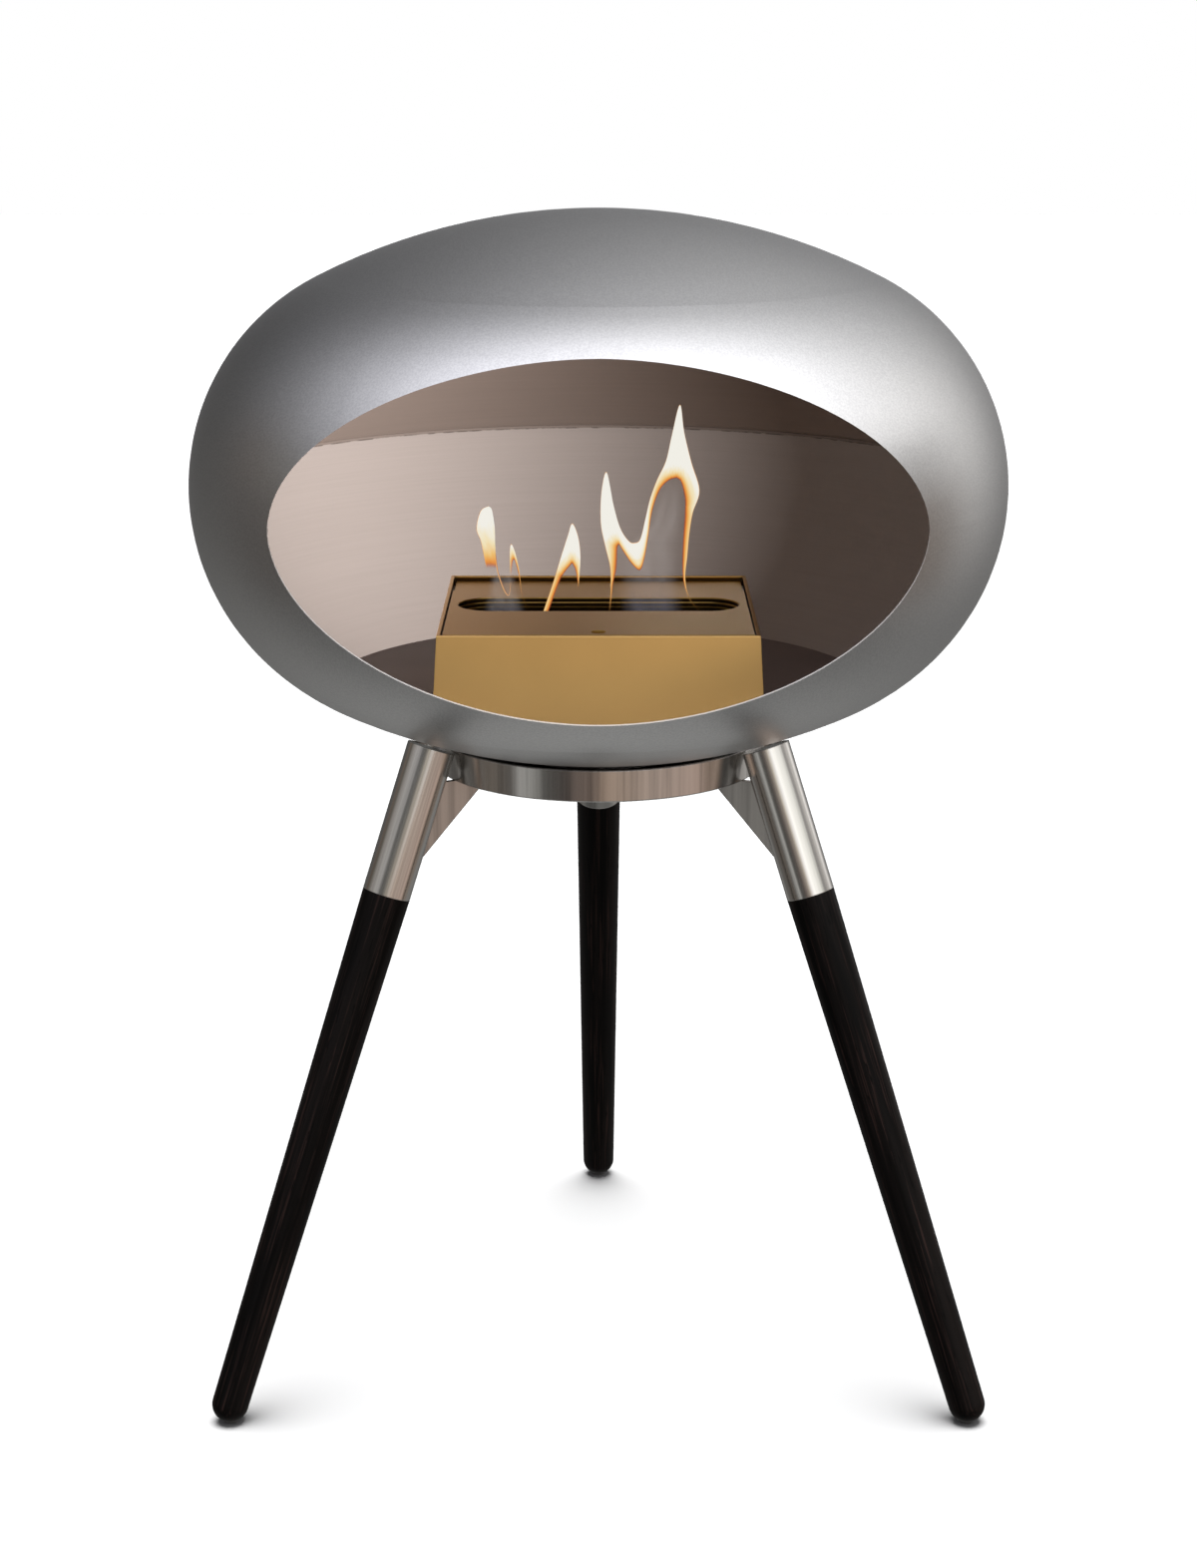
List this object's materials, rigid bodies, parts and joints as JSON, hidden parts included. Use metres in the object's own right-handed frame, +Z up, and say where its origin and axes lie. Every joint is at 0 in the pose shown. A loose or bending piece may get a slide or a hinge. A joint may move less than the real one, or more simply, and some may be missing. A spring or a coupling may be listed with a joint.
{
  "type": "free-standing ethanol hearth",
  "caption": "Oval steel dome with an open mouth on a splayed three-legged stand, holding a drop-in slotted burner with a sliding lid.",
  "frame": {"origin": "on the floor, on the common axis of the dome, its swivel and the three legs", "axes": "+Z up along the swivel axis, -Y out of the mouth towards the user, +X to the right seen from the mouth"},
  "size_m": [0.58, 0.559, 0.8495],
  "materials": {
    "dome_steel": "fine satin grey",
    "inner_band": "satin",
    "hearth_black": "heat-proof matt",
    "stand_steel": "polished, fine lengthwise grain",
    "zinc_steel": "plain",
    "bronze": "plain",
    "gold_metal": "satin gold",
    "black_wood": "black stained, open grain",
    "glide_plastic": "matt",
    "ceramic": "ceramic wool"
  },
  "bodies": {
    "stand": {"base_ring": "stand_steel", "base_plate": "stand_steel", "lower_race": "zinc_steel", "race_balls": "zinc_steel", "swivel_bolt": "zinc_steel", "thrust_washer": "bronze", "swivel_nut": "zinc_steel", "leg_studs": "zinc_steel", "leg_left": "black_wood", "socket_tube_left": "stand_steel", "socket_plug_left": "zinc_steel", "socket_cap_left": "stand_steel", "gusset_left": "stand_steel", "glide_left": "glide_plastic", "leg_right": "black_wood", "socket_tube_right": "stand_steel", "socket_plug_right": "zinc_steel", "socket_cap_right": "stand_steel", "gusset_right": "stand_steel", "glide_right": "glide_plastic", "leg_rear": "black_wood", "socket_tube_rear": "stand_steel", "socket_plug_rear": "zinc_steel", "socket_cap_rear": "stand_steel", "gusset_rear": "stand_steel", "glide_rear": "glide_plastic"},
    "dome": {"dome_upper_shell": "dome_steel", "dome_lower_shell": "dome_steel", "seam_band": "inner_band", "hearth_floor": "hearth_black", "floor_support_ring": "stand_steel", "hub_plate": "zinc_steel", "hub_seat": "zinc_steel", "upper_race": "zinc_steel", "hub_bushing": "bronze", "hub_screws": "zinc_steel"},
    "burner": {"burner_housing": "gold_metal", "burner_base": "zinc_steel", "burner_feet": "glide_plastic", "top_plate": "gold_metal", "plate_rail_left": "zinc_steel", "plate_rail_right": "zinc_steel", "slot_collar": "gold_metal", "fuel_tank": "zinc_steel", "ceramic_wool": "ceramic"},
    "lid": {"sliding_lid": "gold_metal", "lid_pins": "zinc_steel"}
  },
  "joints": [
    {"name": "dome_swivel", "type": "hinge", "parent": "stand", "child": "dome", "pos_m": [0, 0, 0.46], "axis": [0, 0, 1], "continuous": true},
    {"name": "burner_lift", "type": "slide", "parent": "dome", "child": "burner", "axis": [0, 0, 1], "range_m": [0, 0.06]},
    {"name": "lid_slide", "type": "slide", "parent": "burner", "child": "lid", "axis": [0, 1, 0], "range_m": [0, 0.05]}
  ]
}
